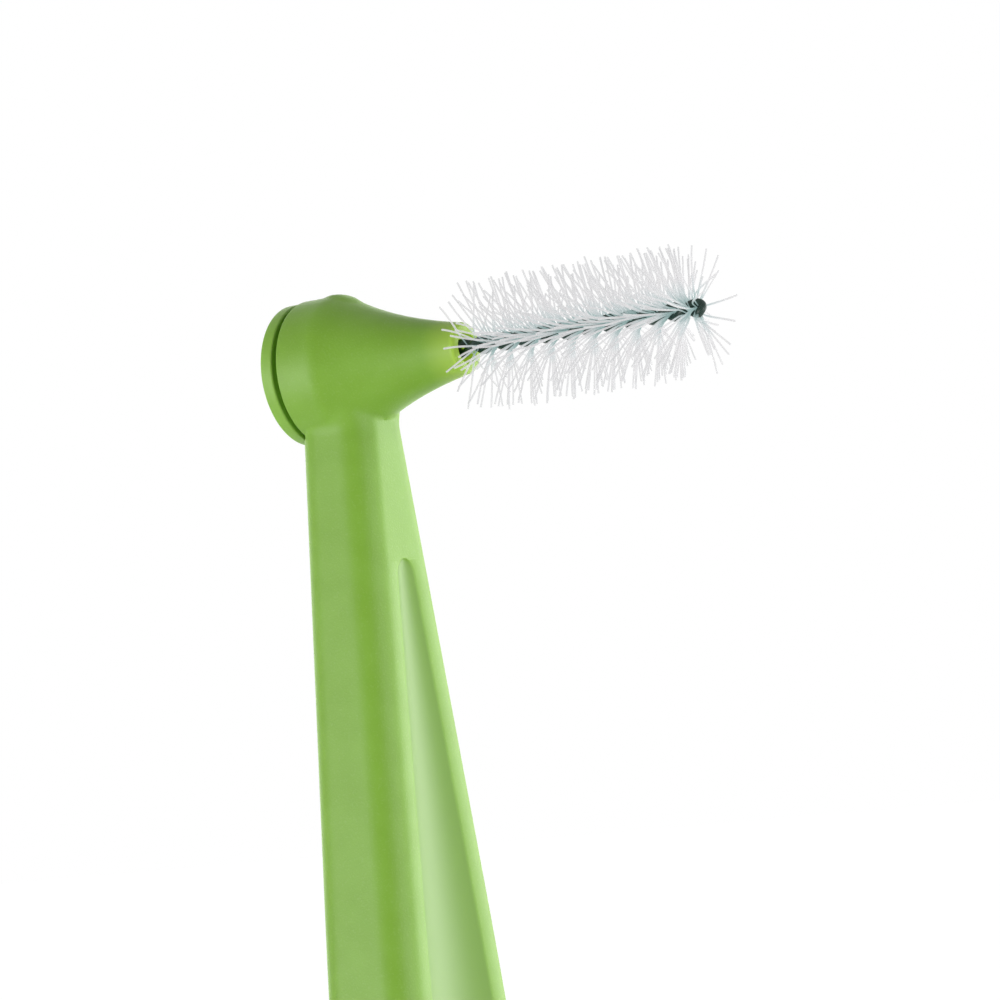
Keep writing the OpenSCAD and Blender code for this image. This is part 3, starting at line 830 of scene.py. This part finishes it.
def nylonFinish(look):
    # Pale nylon. Colour = a painted teal tint near the core, which stands for the wire's dark green seen
    # through the strands, clear white past it, by the length along a strand, with a greyer tone in random
    # patches.
    # The strands emit that colour as a painted glow for the light that nylon passes on, and the diffuse
    # colour is a share of it.
    f = Finish("nylon pale")
    colour = f.node("ValToRGB", {"stops": look["stops"]}, {"Fac": f.attribute("reach") / look["longest"]})
    patches = f.limit(f.noise(look["patchSize"]), *look["patchRange"]) * look["patchShare"]
    colour = f.mixColour(patches, colour, look["shade"], "MULTIPLY")
    return f.surface(
        Base_Color=f.mixColour(1.0, colour, (look["body"],) * 3, "MULTIPLY"), Roughness=look["rough"],
        IOR=look["ior"], Specular_IOR_Level=look["gloss"],
        # painted glow: the strands emit their colour, which stands for light passing through the nylon
        Emission_Color=colour, Emission_Strength=look["glow"], Alpha=look["solid"])


steel = {"colour": (0.60, 0.60, 0.60), "rough": 0.25, "roughSpread": 0.2, "lineSize": 0.03}


def steelFinish(look):
    # Drawn stainless steel. Roughness = a base plus a share of fine noise
    f = Finish("steel drawn")
    rough = look["rough"] + f.noise(look["lineSize"], detail=1.0) * look["roughSpread"]
    return f.surface(Base_Color=f.colour(look["colour"]), Metallic=1.0, Roughness=rough)


# Camera and studio

camera = {
    "azimuth": 32.156, "elevation": -2.386, "roll": 6.699, "away": 159.999,
    "across": 6.906, "up": -5.833, "lens": 129.6, "sensor": 36.0, "near": 10.0, "far": 10000.0,
}


def outFrom(azimuth, elevation):
    # Unit vector away from the object: azimuth 0 is on the -Y side, 90 on the +X side
    return np.array([sine(azimuth) * cosine(elevation), -cosine(azimuth) * cosine(elevation),
                     sine(elevation)])


def buildCamera():
    # The view direction, a level and an upright direction across it, both turned by the roll
    c = camera
    back = outFrom(c["azimuth"], c["elevation"])
    level = np.array([cosine(c["azimuth"]), sine(c["azimuth"]), 0])
    upright = np.cross(back, level)
    right = cosine(c["roll"]) * level - sine(c["roll"]) * upright
    up = sine(c["roll"]) * level + cosine(c["roll"]) * upright
    place = back * c["away"] + right * c["across"] + up * c["up"] + [0, 0, headZ]
    data = bpy.data.cameras.new("camera")
    data.lens, data.sensor_width, data.sensor_fit = c["lens"], c["sensor"], "HORIZONTAL"
    data.clip_start, data.clip_end = c["near"] * mm, c["far"] * mm
    seen = bpy.data.objects.new("camera", data)
    rows = [[*row, p * mm] for row, p in zip(np.stack([right, up, back], 1), place)]
    seen.matrix_world = Matrix(rows + [[0, 0, 0, 1]])
    bpy.context.scene.collection.objects.link(seen)
    bpy.context.scene.camera = seen


studio = {
    "floorSide": 4000.0, "floorTint": 0.8, "floorShare": 0.7, "floorGlow": 1.40, "ambient": 0.22,
    "lampAway": 420.0,
    "lamps": {
        "right": {"azimuth": 87, "elevation": -5, "side": 290, "watts": 1.18},
        "rightBack": {"azimuth": 152, "elevation": 0, "side": 310, "watts": 1.4},
        "left": {"azimuth": -29, "elevation": -8, "side": 280, "watts": 1.50},
        "leftBack": {"azimuth": -135, "elevation": 4, "side": 420, "watts": 1.1},
    },
}


def seenAsWhite(f):
    # 1 for the rays that look at the backdrop: from the camera, off a gloss or through a clear piece
    look, gloss, through = (f.node("LightPath", output=f"Is {kind} Ray")
                            for kind in ("Camera", "Glossy", "Transmission"))
    return look.combine("MAXIMUM", gloss).combine("MAXIMUM", through)


def buildWorld():
    # White where it is looked at, and a weaker even light on the object
    bpy.context.scene.view_settings.view_transform = "Standard"
    world = bpy.data.worlds.new("studio")
    bpy.context.scene.world = world
    f = Finish("world", world)
    weak, full = (f.node("Background", {}, {"Color": f.colour(white), "Strength": level})
                  for level in (studio["ambient"], 1.0))
    f.close(f.node("MixShader", {}, {0: seenAsWhite(f), 1: weak, 2: full}), "OutputWorld")


def buildFloor():
    # Where it is looked at, a share of glow and the lit floor add up to white, and a shadow stays
    s = studio
    f = Finish("floor white")
    shown = f.node("Emission", {}, {"Color": f.colour(white), "Strength": s["floorGlow"]})
    lit = f.node("BsdfDiffuse", {}, {"Color": f.colour((s["floorTint"],) * 3)})
    half = s["floorSide"] / 2
    corners = [(-half, -half, 0), (half, -half, 0), (half, half, 0), (-half, half, 0)]
    floor = makeObject("floor", corners, [(0, 1, 2, 3)])
    mix = f.node("MixShader", {}, {0: seenAsWhite(f) * s["floorShare"], 1: lit, 2: shown})
    floor.data.materials.append(f.close(mix))


def buildLamps():
    # Square lamps round the head, each turned to it
    centre = Vector((0, 0, headZ * mm))
    for name, lamp in studio["lamps"].items():
        data = bpy.data.lights.new(name, "AREA")
        data.shape, data.size, data.energy = "SQUARE", lamp["side"] * mm, lamp["watts"]
        placed = bpy.data.objects.new(name, data)
        out = Vector(outFrom(lamp["azimuth"], lamp["elevation"]))
        placed.location = centre + out * studio["lampAway"] * mm
        placed.rotation_euler = out.to_track_quat("Z", "Y").to_euler()
        placed.visible_camera = False
        bpy.context.scene.collection.objects.link(placed)


buildCamera()
buildWorld()
buildFloor()
buildLamps()
print("studio made")
buildHandle(mouldedFinish("polypropylene green", green, True))
buildCarrier(mouldedFinish("polypropylene light green", lightGreen, False))
buildCoating(coatFinish(coat))
buildBristles(nylonFinish(nylon))
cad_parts["wire"].material_slots[0].material = steelFinish(steel)
print("pieces made")
